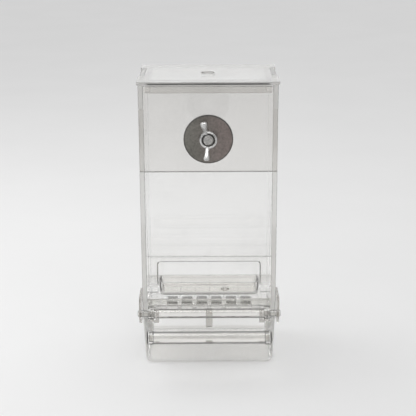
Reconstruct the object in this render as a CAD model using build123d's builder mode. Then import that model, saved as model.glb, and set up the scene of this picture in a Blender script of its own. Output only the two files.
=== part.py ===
# Clear plastic bird feeder that bolts to the bars of a cage.
# Sizes in millimetres, +Z up, front toward -Y, origin under the middle of the whole feeder.
import math
import os

from build123d import *

os.makedirs("parts", exist_ok=True)

# Sheet box
sheet = 3.0
body_width = 84.0
body_depth = 58.0
body_lift = 0.4
wall_height = 150.1
front_top_gap = 1.5
mouth_height = 96.1
front_tab_shoulder = 13.5
back_tab_height = 50.0
back_tab_rise = 74.6
foot_notch_depth = 6.0
foot_notch_height = 10.9

# Lid
lid_thickness = 2.0
lid_side_overhang = 0.9
lid_front_overhang = 3.0
lid_back_overhang = 1.0
lid_corner = 1.5
lid_tab_length = 28.0
lid_tab_from_front = 20.0
lid_tab_gap = 0.2
finger_hole_diameter = 8.5
finger_hole_from_front = 30.0
rim_depth = 6.0
rim_width = 3.0
rim_gap = 0.8

# Seed way
outlet_height = 33.1
outlet_from_front = 23.0
outlet_cheek = 6.0
outlet_beam = 3.8
slot_corner = 3.0
ramp_rise = 15.5
ramp_dish_gap = 0.8

# Sieve deck and lip
deck_height = 8.1
lip_height = 4.3
lip_round = 0.8
sieve_margin = 9.0
sieve_pitch = 9.4
sieve_length = 7.8
sieve_row_width = 4.2
sieve_corner = 1.2
sieve_rows_from_front = (7.2, 15.2)

# Seed dish
dish_side_gap = 0.5
dish_side_slope = 0.9
dish_ahead = 5.0
dish_depth = 15.0
dish_height = 8.7
dish_slope = 0.9
dish_wall = 1.6
dish_corner = 3.5
dish_lift = 0.1

# Perch and the rod it swings on
rod_diameter = 6.0
rod_pin_diameter = 4.2
rod_forward = 5.5
rod_lift = 0.4
rod_stick_out = 1.0
rod_end_round = 0.6
running_gap = 0.05
bar_diameter = 7.8
perch_reach = 19.5
perch_drop = 7.9
perch_side_gap = 3.8
boss_diameter = 8.8
boss_length = 3.7
boss_round = 1.2
spigot_diameter = 5.0
spigot_length = 2.4
eye_diameter = 9.2
eye_wall = 1.4
eye_end_gap = 0.1
arm_thickness = 3.0
heel_length = 3.5
heel_height = 2.6
heel_gap = 0.1

# Ears
ear_thickness = 1.8
ear_lift = 0.4
ear_height = 16.7
ear_forward = 10.5
ear_back = 12.0
ear_corner = 4.4

# Hull tray, the rails it slides on and the post that stops it
tray_overhang = 0.2
tray_side_slope = 1.5
tray_height = 31.0
tray_slope = 1.5
tray_wall = 2.0
tray_corner = 5.0
tray_foot_round = 2.0
tray_perch_gap = 1.0
tray_rail_gap = 0.8
tray_cut_corner = 2.5
tray_lip_width = 1.6
tray_lip_thickness = 2.0
rail_foot_width = 7.4
rail_thickness = 2.3
rail_side_gap = 0.8
rail_gap = 0.3
rail_heel_gap = 0.5
rail_from_back = 4.0
stop_width = 4.4
stop_length = 3.0
stop_overlap = 2.1
stop_gap = 1.2

# Bolt, washers and wing nut
bolt_share = 0.396
bolt_diameter = 6.0
bolt_hole_gap = 0.25
bolt_past_washer = 3.8
bolt_end_bevel = 0.5
head_across_flats = 10.0
head_height = 4.0
inner_washer_diameter = 18.0
washer_thickness = 1.6
outer_washer_diameter = 30.0
hub_diameter = 11.0
hub_height = 2.8
hub_recess_diameter = 7.9
hub_recess = 0.8
wing_neck_width = 3.2
wing_neck_height = 3.2
wing_tip_width = 4.6
wing_height = 8.2
wing_tip_foot = 3.4
wing_tip_round = 1.6
upper_wing_neck = (-1.6, 3.6)
upper_wing_tip = (-3.0, 11.8)
lower_wing_neck = (-0.5, -3.9)
lower_wing_tip = (-1.3, -11.6)

# Places worked out from the sizes above
body_half = body_width / 2
inner_half = body_half - sheet
inner_width = 2 * inner_half
perch_front = rod_forward + perch_reach + boss_diameter / 2
front_y = (perch_front - body_depth - lid_back_overhang) / 2
back_y = front_y + body_depth
middle_y = (front_y + back_y) / 2
inside_front_y = front_y + sheet
inside_back_y = back_y - sheet
body_bottom = tray_height + body_lift
wall_top = body_bottom + wall_height
front_top = wall_top - front_top_gap
mouth_top = body_bottom + mouth_height
back_tab_middle = body_bottom + back_tab_rise
foot_notch_top = body_bottom + foot_notch_height
outlet_top = body_bottom + outlet_height
outlet_y = front_y + outlet_from_front
slot_top = outlet_top - outlet_beam
slot_width = inner_width - 2 * outlet_cheek
deck_top = body_bottom + deck_height
deck_bottom = deck_top - sheet
rod_y = front_y - rod_forward
rod_height = deck_bottom + rod_lift
bar_y = rod_y - perch_reach
bar_height = rod_height - perch_drop
perch_half_length = body_half - perch_side_gap
bolt_height = mouth_top + bolt_share * (front_top - mouth_top)
rod_bore = rod_diameter / 2 + running_gap
pin_bore = rod_pin_diameter / 2 + running_gap
bolt_hole = bolt_diameter / 2 + bolt_hole_gap


def facing_front(y):
    return Plane.XZ.offset(-y)


def save(part, name):
    part.label = name
    export_step(part, "parts/" + name + ".step")


# Side panels, notched for the front and back panels, each with a tab for the lid
lid_tab_y = front_y + lid_tab_from_front + lid_tab_length / 2
front_tab_height = front_top - mouth_top - front_tab_shoulder
for name, start in (("left_side_panel", -body_half), ("right_side_panel", inner_half)):
    with BuildPart() as side_panel:
        with BuildSketch(Plane.YZ.offset(start)):
            with Locations((middle_y, body_bottom + wall_height / 2)):
                Rectangle(body_depth, wall_height)
            with Locations((lid_tab_y, wall_top + lid_thickness / 2)):
                Rectangle(lid_tab_length, lid_thickness)
            with Locations((front_y + sheet / 2, mouth_top + front_tab_height / 2)):
                Rectangle(sheet, front_tab_height, mode=Mode.SUBTRACT)
            with Locations((back_y - sheet / 2, back_tab_middle)):
                Rectangle(sheet, back_tab_height, mode=Mode.SUBTRACT)
            with Locations((front_y + foot_notch_depth / 2, (body_bottom + foot_notch_top) / 2)):
                Rectangle(foot_notch_depth, foot_notch_top - body_bottom, mode=Mode.SUBTRACT)
        extrude(amount=sheet)
    save(side_panel.part, name)

# Front panel, with a tab into each side panel and the bolt hole
with BuildPart() as front_panel:
    with BuildSketch(facing_front(inside_front_y)):
        with Locations((0, (mouth_top + front_top) / 2)):
            Rectangle(inner_width, front_top - mouth_top)
        with Locations((0, mouth_top + front_tab_height / 2)):
            Rectangle(body_width, front_tab_height)
        with Locations((0, bolt_height)):
            Circle(bolt_hole, mode=Mode.SUBTRACT)
    extrude(amount=sheet)
save(front_panel.part, "front_panel")

# Back panel, with a tab into each side panel
with BuildPart() as back_panel:
    with BuildSketch(facing_front(back_y)):
        with Locations((0, body_bottom + wall_height / 2)):
            Rectangle(inner_width, wall_height)
        with Locations((0, back_tab_middle)):
            Rectangle(body_width, back_tab_height)
    extrude(amount=sheet)
save(back_panel.part, "back_panel")

# Sloping baffle from the front panel back to the outlet plate
baffle_across = sheet / math.cos(math.atan2(outlet_from_front, mouth_top - outlet_top))
with BuildPart() as sloping_baffle:
    with BuildSketch(Plane.YZ.offset(-inner_half)):
        with BuildLine():
            Polyline(
                (front_y, mouth_top),
                (outlet_y, outlet_top),
                (outlet_y + baffle_across, outlet_top),
                (front_y + baffle_across, mouth_top),
                close=True,
            )
        make_face()
    extrude(amount=inner_width)
save(sloping_baffle.part, "sloping_baffle")

# Outlet plate, open at the foot for the dish
with BuildPart() as outlet_plate:
    with BuildSketch(facing_front(outlet_y + sheet)):
        with Locations((0, (deck_top + outlet_top) / 2)):
            Rectangle(inner_width, outlet_top - deck_top)
        with Locations((0, deck_top)):
            RectangleRounded(slot_width, 2 * (slot_top - deck_top), slot_corner, mode=Mode.SUBTRACT)
    extrude(amount=sheet)
save(outlet_plate.part, "outlet_plate")

# Seed ramp from the back panel down to the deck behind the dish
dish_y = outlet_y - dish_ahead
ramp_y = dish_y + dish_depth + ramp_dish_gap
ramp_top = deck_top + ramp_rise
ramp_angle = math.atan2(ramp_rise, inside_back_y - ramp_y)
with BuildPart() as seed_ramp:
    with BuildSketch(Plane.YZ.offset(-inner_half)):
        with BuildLine():
            Polyline(
                (ramp_y, deck_top),
                (inside_back_y, ramp_top),
                (inside_back_y, ramp_top - sheet / math.cos(ramp_angle)),
                (ramp_y + sheet / math.sin(ramp_angle), deck_top),
                close=True,
            )
        make_face()
    extrude(amount=inner_width)
save(seed_ramp.part, "seed_ramp")

# Sieve deck with two rows of slots that let the hulls fall through
sieve_count = int((inner_width - 2 * sieve_margin) / sieve_pitch)
with BuildPart() as sieve_deck:
    with BuildSketch(Plane.XY.offset(deck_bottom)):
        with Locations((0, (front_y + inside_back_y) / 2)):
            Rectangle(inner_width, inside_back_y - front_y)
        for row in sieve_rows_from_front:
            with Locations((0, front_y + row)):
                with GridLocations(sieve_pitch, sieve_pitch, sieve_count, 1):
                    RectangleRounded(sieve_length, sieve_row_width, sieve_corner, mode=Mode.SUBTRACT)
    extrude(amount=sheet)
save(sieve_deck.part, "sieve_deck")

# Lip that keeps the seed on the deck
with BuildPart() as trough_lip:
    with BuildSketch(Plane.YZ.offset(-inner_half)):
        with Locations((front_y + sheet / 2, deck_top + lip_height / 2)):
            Rectangle(sheet, lip_height)
    extrude(amount=inner_width)
    fillet(trough_lip.faces().sort_by(Axis.Z)[-1].edges().filter_by(Axis.X), lip_round)
save(trough_lip.part, "trough_lip")

# Seed dish that stands on the deck and slides out through the outlet
dish_width_top = slot_width - 2 * dish_side_gap
dish_width_bottom = dish_width_top - 2 * dish_side_slope
with BuildPart() as seed_dish:
    with BuildSketch(Plane.XY.offset(deck_top + dish_lift)):
        with Locations((0, dish_y + dish_depth / 2)):
            RectangleRounded(dish_width_bottom, dish_depth - 2 * dish_slope, dish_corner)
    with BuildSketch(Plane.XY.offset(deck_top + dish_lift + dish_height)):
        with Locations((0, dish_y + dish_depth / 2)):
            RectangleRounded(dish_width_top, dish_depth, dish_corner)
    loft()
    offset(amount=-dish_wall, openings=seed_dish.faces().sort_by(Axis.Z)[-1])
save(seed_dish.part, "seed_dish")

# Ears that carry the rod outside the side panels
ear_middle = body_bottom + ear_lift + ear_height / 2
for name, start in (("left_ear", -body_half - ear_thickness), ("right_ear", body_half)):
    with BuildPart() as ear:
        with BuildSketch(Plane.YZ.offset(start)):
            with Locations((front_y + (ear_back - ear_forward) / 2, ear_middle)):
                RectangleRounded(ear_forward + ear_back, ear_height, ear_corner)
            with Locations((rod_y, rod_height)):
                Circle(pin_bore, mode=Mode.SUBTRACT)
        extrude(amount=ear_thickness)
    save(ear.part, name)

# Rod, with a thinner pin at each end
rod_half_length = perch_half_length - eye_wall - eye_end_gap
pin_half_length = body_half + ear_thickness + rod_stick_out
with BuildPart() as pivot_rod:
    with BuildSketch(Plane.YZ.offset(-pin_half_length)):
        with Locations((rod_y, rod_height)):
            Circle(rod_pin_diameter / 2)
    extrude(amount=2 * pin_half_length)
    fillet(pivot_rod.edges().filter_by(GeomType.CIRCLE), rod_end_round)
    with BuildSketch(Plane.YZ.offset(-rod_half_length)):
        with Locations((rod_y, rod_height)):
            Circle(rod_diameter / 2)
    extrude(amount=2 * rod_half_length)
save(pivot_rod.part, "pivot_rod")

# Perch bar, with a spigot at each end
bar_half_length = perch_half_length - boss_length
with BuildPart() as perch_bar:
    with BuildSketch(Plane.YZ.offset(-bar_half_length)):
        with Locations((bar_y, bar_height)):
            Circle(bar_diameter / 2)
    extrude(amount=2 * bar_half_length)
    with BuildSketch(Plane.YZ.offset(-bar_half_length - spigot_length)):
        with Locations((bar_y, bar_height)):
            Circle(spigot_diameter / 2)
    extrude(amount=2 * (bar_half_length + spigot_length))
save(perch_bar.part, "perch_bar")

# Perch arms: each holds one end of the bar, turns on the rod and stops under the deck
arm_length = math.hypot(perch_reach, perch_drop)
arm_plane = Plane(
    origin=(0, rod_y, rod_height),
    x_dir=(1, 0, 0),
    z_dir=(0, perch_drop / arm_length, -perch_reach / arm_length),
)
for name, side in (("left_perch_arm", -1), ("right_perch_arm", 1)):
    arm_start = side * bar_half_length
    arm_middle = side * (perch_half_length - boss_length / 2)
    with BuildPart() as perch_arm:
        with BuildSketch(Plane.YZ.offset(arm_start)):
            with Locations((bar_y, bar_height)):
                Circle(boss_diameter / 2)
            with Locations((rod_y, rod_height)):
                Circle(eye_diameter / 2)
        extrude(amount=side * boss_length)
        outer_faces = perch_arm.faces().filter_by(Axis.X).group_by(Axis.X)[-1 if side > 0 else 0]
        fillet(outer_faces.sort_by(Axis.Y)[0].edges(), boss_round)
        with BuildSketch(arm_plane):
            with Locations((arm_middle - side * boss_round / 2, arm_length / 2)):
                Rectangle(boss_length - boss_round, arm_length)
        extrude(amount=arm_thickness / 2, both=True)
        with BuildSketch(Plane.YZ.offset(arm_start)):
            with Locations((rod_y, deck_bottom - heel_gap)):
                Rectangle(rod_forward + heel_length, heel_height, align=(Align.MIN, Align.MAX))
        extrude(amount=side * boss_length)
        with BuildSketch(Plane.YZ.offset(arm_start)):
            with Locations((rod_y, rod_height)):
                Circle(pin_bore)
        extrude(amount=side * boss_length, mode=Mode.SUBTRACT)
        with BuildSketch(Plane.YZ.offset(arm_start)):
            with Locations((rod_y, rod_height)):
                Circle(rod_bore)
        extrude(amount=side * (boss_length - eye_wall), mode=Mode.SUBTRACT)
        with BuildSketch(Plane.YZ.offset(arm_start)):
            with Locations((bar_y, bar_height)):
                Circle(spigot_diameter / 2 + running_gap)
        extrude(amount=side * spigot_length, mode=Mode.SUBTRACT)
    save(perch_arm.part, name)

# Lid plate, notched for the side panels' tabs, with a finger hole
lid_half = body_half + lid_side_overhang
lid_length = lid_front_overhang + body_depth + lid_back_overhang
notch_depth = lid_half - inner_half + lid_tab_gap
with BuildPart() as lid_plate:
    with BuildSketch(Plane.XY.offset(wall_top)):
        with Locations((0, front_y - lid_front_overhang + lid_length / 2)):
            RectangleRounded(2 * lid_half, lid_length, lid_corner)
        with Locations((-lid_half, lid_tab_y), (lid_half, lid_tab_y)):
            Rectangle(2 * notch_depth, lid_tab_length + 2 * lid_tab_gap, mode=Mode.SUBTRACT)
        with Locations((0, front_y + finger_hole_from_front)):
            Circle(finger_hole_diameter / 2, mode=Mode.SUBTRACT)
    extrude(amount=lid_thickness)
save(lid_plate.part, "lid_plate")

# Rim under the lid that drops inside the walls
rim_outer_width = inner_width - 2 * rim_gap
rim_outer_length = inside_back_y - inside_front_y - 2 * rim_gap
with BuildPart() as lid_rim:
    with BuildSketch(Plane.XY.offset(wall_top - rim_depth)):
        with Locations((0, middle_y)):
            Rectangle(rim_outer_width, rim_outer_length)
            Rectangle(rim_outer_width - 2 * rim_width, rim_outer_length - 2 * rim_width, mode=Mode.SUBTRACT)
    extrude(amount=rim_depth)
save(lid_rim.part, "lid_rim")

# Hull tray: a tub that widens upward, cut low in front and at the back, with a lip inside each side
tray_width_top = body_width + 2 * tray_overhang
tray_width_bottom = tray_width_top - 2 * tray_side_slope
tray_length_bottom = body_depth - 2 * tray_slope
tray_inside = tray_width_top / 2 - tray_wall
tray_hollow_corner = tray_corner - tray_wall
lip_bottom = tray_height - tray_lip_thickness
lip_length = body_depth - 2 * tray_corner
lip_root = tray_wall / 2
rail_top = lip_bottom - rail_gap
tray_front_top = bar_height - boss_diameter / 2 - tray_perch_gap
tray_back_top = rail_top - rail_thickness - tray_rail_gap
with BuildPart() as hull_tray:
    with BuildSketch():
        with Locations((0, middle_y)):
            RectangleRounded(tray_width_bottom, tray_length_bottom, tray_corner)
    with BuildSketch(Plane.XY.offset(tray_height)):
        with Locations((0, middle_y)):
            RectangleRounded(tray_width_top, body_depth, tray_corner)
    loft()
    fillet(hull_tray.faces().sort_by(Axis.Z)[0].edges(), tray_foot_round)
    with BuildSketch(Plane.XY.offset(tray_wall)):
        with Locations((0, middle_y)):
            RectangleRounded(
                tray_width_bottom - 2 * tray_wall, tray_length_bottom - 2 * tray_wall, tray_hollow_corner
            )
    with BuildSketch(Plane.XY.offset(tray_height)):
        with Locations((0, middle_y)):
            RectangleRounded(2 * tray_inside, body_depth - 2 * tray_wall, tray_hollow_corner)
    loft(mode=Mode.SUBTRACT)
    for cut_y, cut_bottom in ((front_y, tray_front_top), (back_y, tray_back_top)):
        with BuildSketch(facing_front(cut_y + tray_corner)):
            with Locations((0, tray_height)):
                RectangleRounded(2 * tray_inside, 2 * (tray_height - cut_bottom), tray_cut_corner)
        extrude(amount=2 * tray_corner, mode=Mode.SUBTRACT)
    with BuildSketch(Plane.XY.offset(lip_bottom)):
        for side in (-1, 1):
            with Locations((side * (tray_inside + (lip_root - tray_lip_width) / 2), middle_y)):
                Rectangle(tray_lip_width + lip_root, lip_length)
    extrude(amount=tray_lip_thickness)
save(hull_tray.part, "hull_tray")

# Rails under the deck that carry the tray's lips
rail_foot_end = tray_inside - rail_side_gap
rail_web_inside = rail_foot_end - rail_foot_width
rail_front_y = front_y + heel_length + rail_heel_gap
rail_back_y = back_y - rail_from_back
for name, side in (("left_tray_rail", -1), ("right_tray_rail", 1)):
    with BuildPart() as tray_rail:
        with BuildSketch(facing_front(rail_back_y)):
            with Locations((side * (rail_web_inside + rail_thickness / 2), rail_top)):
                Rectangle(rail_thickness, deck_bottom - rail_top, align=(Align.CENTER, Align.MIN))
            with Locations((side * (rail_web_inside + rail_foot_end) / 2, rail_top)):
                Rectangle(rail_foot_end - rail_web_inside, rail_thickness, align=(Align.CENTER, Align.MAX))
        extrude(amount=rail_back_y - rail_front_y)
    save(tray_rail.part, name)

# Post under the deck that stops the tray's back wall
stop_bottom = tray_back_top - stop_overlap
stop_y = front_y + tray_wall + stop_gap + stop_length / 2
with BuildPart() as tray_stop:
    with BuildSketch(Plane.XY.offset(stop_bottom)):
        with Locations((0, stop_y)):
            Rectangle(stop_width, stop_length)
    extrude(amount=deck_bottom - stop_bottom)
save(tray_stop.part, "tray_stop")

# Washer under the bolt's head, inside the hopper
head_y = inside_front_y + washer_thickness
with BuildPart() as inner_washer:
    with BuildSketch(facing_front(head_y)):
        with Locations((0, bolt_height)):
            Circle(inner_washer_diameter / 2)
            Circle(bolt_hole, mode=Mode.SUBTRACT)
    extrude(amount=washer_thickness)
save(inner_washer.part, "inner_washer")

# Bolt through the front panel, head inside
nut_y = front_y - washer_thickness
with BuildPart() as mounting_bolt:
    with BuildSketch(facing_front(head_y + head_height)):
        with Locations((0, bolt_height)):
            RegularPolygon(head_across_flats / 2, 6, major_radius=False)
    extrude(amount=head_height)
    with BuildSketch(facing_front(head_y)):
        with Locations((0, bolt_height)):
            Circle(bolt_diameter / 2)
    extrude(amount=head_y - nut_y + bolt_past_washer)
    chamfer(mounting_bolt.faces().sort_by(Axis.Y)[0].edges(), bolt_end_bevel)
save(mounting_bolt.part, "mounting_bolt")

# Wide washer in front that presses on the bars
with BuildPart() as outer_washer:
    with BuildSketch(facing_front(front_y)):
        with Locations((0, bolt_height)):
            Circle(outer_washer_diameter / 2)
            Circle(bolt_hole, mode=Mode.SUBTRACT)
    extrude(amount=washer_thickness)
save(outer_washer.part, "outer_washer")

# Wing nut: a short hub and two wings that lean to one side and stand forward at the tips
neck_middle = nut_y - wing_neck_height / 2
tip_middle = nut_y - (wing_tip_foot + wing_height) / 2
with BuildPart() as wing_nut:
    with BuildSketch(facing_front(nut_y)):
        with Locations((0, bolt_height)):
            Circle(hub_diameter / 2)
    extrude(amount=hub_height)
    for neck, tip in ((upper_wing_neck, upper_wing_tip), (lower_wing_neck, lower_wing_tip)):
        along = Vector(tip[0] - neck[0], 0, tip[1] - neck[1]).normalized()
        across = Vector(along.Z, 0, -along.X)
        with BuildSketch(Plane((neck[0], neck_middle, bolt_height + neck[1]), across, along)):
            Rectangle(wing_neck_width, wing_neck_height)
        with BuildSketch(Plane((tip[0], tip_middle, bolt_height + tip[1]), across, along)):
            Rectangle(wing_tip_width, wing_height - wing_tip_foot)
        loft()
    with BuildSketch(facing_front(nut_y)):
        with Locations((0, bolt_height)):
            Circle(bolt_diameter / 2 + running_gap)
    extrude(amount=hub_height, mode=Mode.SUBTRACT)
    with BuildSketch(facing_front(nut_y - hub_height + hub_recess)):
        with Locations((0, bolt_height)):
            Circle(hub_recess_diameter / 2)
    extrude(amount=wing_height, mode=Mode.SUBTRACT)
    fillet(wing_nut.faces().sort_by(Axis.Z)[-1].edges(), wing_tip_round)
    fillet(wing_nut.faces().sort_by(Axis.Z)[0].edges(), wing_tip_round)
save(wing_nut.part, "wing_nut")
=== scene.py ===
# %% [markdown]
# # A clear feeder for a bird cage
# The feeder is a tall box of clear plastic sheet that hangs on the bars of a cage. Seed runs down inside it into a
# small dish, the bird stands on a perch in front, and the empty hulls fall through a slotted deck into a tray.
# The solids come packed and to size. This script dresses them: every sheet gets broken edges, the metal gets its
# wear, and the light is a plain studio.

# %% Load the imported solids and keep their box
import math

import bmesh
import bpy
import numpy as np
from mathutils import Matrix, Vector


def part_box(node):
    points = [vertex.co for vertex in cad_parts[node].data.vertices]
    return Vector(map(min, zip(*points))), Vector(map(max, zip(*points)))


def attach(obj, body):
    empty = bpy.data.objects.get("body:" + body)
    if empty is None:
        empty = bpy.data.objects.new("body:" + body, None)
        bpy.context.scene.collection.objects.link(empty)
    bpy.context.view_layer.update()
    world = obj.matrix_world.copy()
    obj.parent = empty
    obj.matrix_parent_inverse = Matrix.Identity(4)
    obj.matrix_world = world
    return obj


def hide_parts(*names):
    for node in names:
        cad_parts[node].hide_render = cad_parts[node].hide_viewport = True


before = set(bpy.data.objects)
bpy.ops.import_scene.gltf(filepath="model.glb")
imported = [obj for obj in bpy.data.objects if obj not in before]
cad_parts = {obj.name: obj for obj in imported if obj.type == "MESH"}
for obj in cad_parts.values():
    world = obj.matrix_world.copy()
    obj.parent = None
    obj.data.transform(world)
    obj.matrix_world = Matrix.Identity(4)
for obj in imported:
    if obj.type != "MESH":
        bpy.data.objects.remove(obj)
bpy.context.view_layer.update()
MM = 0.001

# %% [markdown]
# ## Sums on shader sockets
# A finish is a small sum: some noise here, a scratch there. Its nodes could be added and linked one by one, but then
# the sum is lost among the links. Wrapping a socket in a class with plus, minus and times lets it be read as one
# line. One method makes any node, and a few short ones make those that every finish needs: noise, a soft step from
# one value to another, a mix of two colours, and one axis of a place.


# %% A socket that can be added and multiplied
class Wire:
    def __init__(self, tree, socket=None):
        self.tree = tree
        self.socket = socket

    def node(self, kind, settings=None, values=None, out=0):
        made = self.tree.nodes.new(kind)
        for key, setting in (settings or {}).items():
            setattr(made, key, setting)
        for key, value in (values or {}).items():
            if isinstance(value, Wire):
                self.tree.links.new(value.socket, made.inputs[key])
            else:
                made.inputs[key].default_value = value
        return Wire(self.tree, made.outputs[out] if made.outputs else None)

    def noise(self, place, scale, detail, rough=0.5):
        values = {"Vector": place, "Scale": scale, "Detail": detail, "Roughness": rough}
        return self.node("ShaderNodeTexNoise", {}, values)

    def step(self, value, start, stop):
        soft = {"interpolation_type": "SMOOTHSTEP"}
        return self.node("ShaderNodeMapRange", soft, {0: value, 1: start, 2: stop})

    def mix(self, share, first, second, blend="MIX"):
        first, second = [part if isinstance(part, Wire) else (*part, 1.0) for part in (first, second)]
        settings = {"data_type": "RGBA", "blend_type": blend}
        return self.node("ShaderNodeMix", settings, {0: share, 6: first, 7: second}, out=2)

    def axis(self, place, which):
        return self.node("ShaderNodeSeparateXYZ", {}, {0: place}, out=which)

    def sum(self, operation, first, second=0.0):
        return self.node("ShaderNodeMath", {"operation": operation}, {0: first, 1: second})

    def __add__(self, other):
        return self.sum("ADD", self, other)

    def __sub__(self, other):
        return self.sum("SUBTRACT", self, other)

    def __rsub__(self, other):
        return self.sum("SUBTRACT", other, self)

    def __mul__(self, other):
        return self.sum("MULTIPLY", self, other)

    __radd__ = __add__
    __rmul__ = __mul__


X, Y, Z = range(3)
OBJECT_PLACE = 3


def new_finish(name):
    finish = bpy.data.materials.new(name)
    finish.use_nodes = True
    finish.node_tree.nodes.clear()
    wire = Wire(finish.node_tree)
    return finish, wire, wire.node("ShaderNodeTexCoord", out=OBJECT_PLACE)


def close_finish(wire, shader):
    wire.node("ShaderNodeOutputMaterial", {}, {"Surface": shader})


print("sockets can be summed")

# %% [markdown]
# ## Clear plastic
# Clear plastic is mostly what lies behind it. It bends light with an index near 1.49, so its own shape draws the
# dark and bright lines. What makes it look used is small: a slow ripple in the sheet, a haze of fine scuffs, and a
# few long hairlines. A picture of scratches could be wrapped round it, but noise needs no file and has no seams. The
# ripple goes to the bump, the scuffs to the roughness and the tint.
# Three things are added where a piece needs them. A painted gap shade is a dark line painted into the front edge of
# the lid, for the shade in the gap under it. A painted grazing tone is a second, opaque shade painted in where the
# surface turns away from the eye, and it may clear again further round. It is dark on edges, rods and mouldings, and a
# pale painted sheen on the lid. A thin body lets part of the light through unbent.

# %% A clear finish with ripple, scuffs and hairlines
RIPPLE_SCALE, RIPPLE_DEPTH = 28.0, 0.0006
SCUFF_SCALE, SCUFF_SHADE = 420.0, 0.94
HAIRLINE_SCALE = (30.0, 900.0, 900.0)
GAP_SHADE_HALF, GAP_SHADE_FADED = 0.0355, 0.0385
GAP_SHADE_FRONT = -0.012
GAP_SHADE_LOW, GAP_SHADE_HIGH = 0.1825, 0.1831
PAINTED_GRAZING_SHARE = 0.8


# Painted shade: a dark band along the lower front edge of the lid, where the gap beneath it is in shade.
def gap_shade_mask(wire, place, slow):
    across_gap = wire.step(wire.sum("ABSOLUTE", wire.axis(place, X)), GAP_SHADE_FADED, GAP_SHADE_HALF)
    in_front = wire.sum("LESS_THAN", wire.axis(place, Y), GAP_SHADE_FRONT)
    lower = wire.step(wire.axis(place, Z), GAP_SHADE_HIGH, GAP_SHADE_LOW)
    return across_gap * in_front * lower * (0.7 + slow * 0.6)


# Painted shade: an opaque grey is mixed in where the surface turns from the eye; a pale grey makes a painted sheen.
def add_painted_grazing(wire, shader, painted_grazing, clears):
    painted_grazing_tint, start, stop = painted_grazing
    away = wire.node("ShaderNodeLayerWeight", {}, {"Blend": 0.5}, out=1)
    grazing = wire.step(away, start, stop)
    if clears:
        grazing = grazing * wire.step(away, clears[1], clears[0])
    shade = wire.node("ShaderNodeBsdfPrincipled", {}, {"Base Color": (*painted_grazing_tint, 1.0), "Roughness": 0.4})
    return wire.node("ShaderNodeMixShader", {}, {0: grazing * PAINTED_GRAZING_SHARE, 1: shader, 2: shade})


def clear_finish(
    name, tint, rough, scuff, ripple, turn, index=1.49, body=1.0, painted_gap_shade=None, painted_grazing=None, clears=None,
):
    finish, wire, place = new_finish(name)
    slow = wire.noise(place, RIPPLE_SCALE, 2.0)
    fine = wire.noise(place, SCUFF_SCALE, 4.0, 0.6)
    drawn = wire.node("ShaderNodeMapping", {}, {"Vector": place, "Rotation": turn, "Scale": HAIRLINE_SCALE})
    hairlines = wire.step(wire.noise(drawn, 1.0, 1.0), 0.66, 0.74)
    scuffs = wire.step(fine * slow, 0.24, 0.40)
    colour = wire.mix(scuffs * 0.5, tint, [SCUFF_SHADE * part for part in tint])
    if painted_gap_shade:
        colour = wire.mix(gap_shade_mask(wire, place, slow), colour, painted_gap_shade)
    height = slow + hairlines * 0.01
    bump = wire.node("ShaderNodeBump", {}, {"Strength": ripple, "Distance": RIPPLE_DEPTH, "Height": height})
    shader = wire.node(
        "ShaderNodeBsdfPrincipled",
        {},
        {
            "Base Color": colour,
            "Roughness": rough + scuffs * scuff + hairlines * scuff,
            "IOR": index,
            "Transmission Weight": 1.0,
            "Alpha": body,
            "Normal": bump,
        },
    )
    if painted_grazing:
        shader = add_painted_grazing(wire, shader, painted_grazing, clears)
    close_finish(wire, shader)
    return finish


print("a brink takes", PAINTED_GRAZING_SHARE, "of the light at most")

# %% [markdown]
# The flat sheet is almost without colour. Its edges are painted darker, as painted shade for the dark lines that
# light running a long way inside the sheet draws there. The walls of slots and the lower edge over the mouth get the
# darkest painted shade of all. One finish could serve them all, but then the edges would be lost against the sheet.

# %% Finishes of the sheets and their edges
ASLANT, CROSSED = (0.4, 0.0, 0.3), (0.4, 0.2, 0.3)
SHEET = clear_finish("clear_sheet", (0.988, 0.987, 0.982), 0.015, 0.05, 0.05, (0.0, 0.0, 1.1))
DECK = clear_finish("deck_sheet", (0.985, 0.984, 0.978), 0.02, 0.06, 0.05, (0.0, 0.0, 1.3), body=0.35)
# Painted shade: the front sheet is a greyer copy of the clear sheet, to dim the view through the box.
FRONT = clear_finish("front_sheet", (0.90, 0.89, 0.875), 0.02, 0.06, 0.05, (0.0, 0.0, 0.4))
# SAWN, EDGE, SLOT, MOUTH, TAB and LIP are greyer copies of the sheet: painted shade on edges and strips.
SAWN = clear_finish("sawn_sheet_edge", (0.60, 0.585, 0.56), 0.07, 0.05, 0.05, ASLANT)
EDGE = clear_finish("panel_edge", (0.74, 0.73, 0.705), 0.34, 0.05, 0.05, ASLANT)
SLOT = clear_finish("slot_wall", (0.16, 0.157, 0.148), 0.25, 0.12, 0.10, CROSSED)
# Painted shade: the sides of the outlet slot are tinted nearly black.
SLOT_SIDE_SHADE = clear_finish("slot_side_painted_shade", (0.05, 0.049, 0.045), 0.20, 0.12, 0.10, CROSSED)
MOUTH = clear_finish(
    "mouth_edge", (0.30, 0.295, 0.28), 0.25, 0.12, 0.10, CROSSED, painted_grazing=((0.15, 0.147, 0.138), 0.0, 0.05),
)
TAB = clear_finish(
    "tab_end", (0.42, 0.41, 0.395), 0.15, 0.06, 0.05, ASLANT, painted_grazing=((0.30, 0.295, 0.285), 0.10, 0.60),
)
LIP = clear_finish(
    "lip_strip", (0.84, 0.835, 0.81), 0.03, 0.06, 0.20, (0.0, 0.0, 0.2), painted_grazing=((0.12, 0.117, 0.11), 0.58, 0.90),
)
print("sheet finishes:", [finish.name for finish in (SHEET, DECK, FRONT, SAWN, EDGE, SLOT, SLOT_SIDE_SHADE, MOUTH, TAB, LIP)])

# %% [markdown]
# The lid is scuffed by hands, and where it is seen at a slant a pale painted sheen makes it go a little white. The
# dish and the tray are moulded and thin. Their full index would bend the view too much, and a lower one looks more
# like a thin wall. The rods have the strongest painted dark lines, and their tint is a little greyer, painted to dim
# the whole rod.

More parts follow.
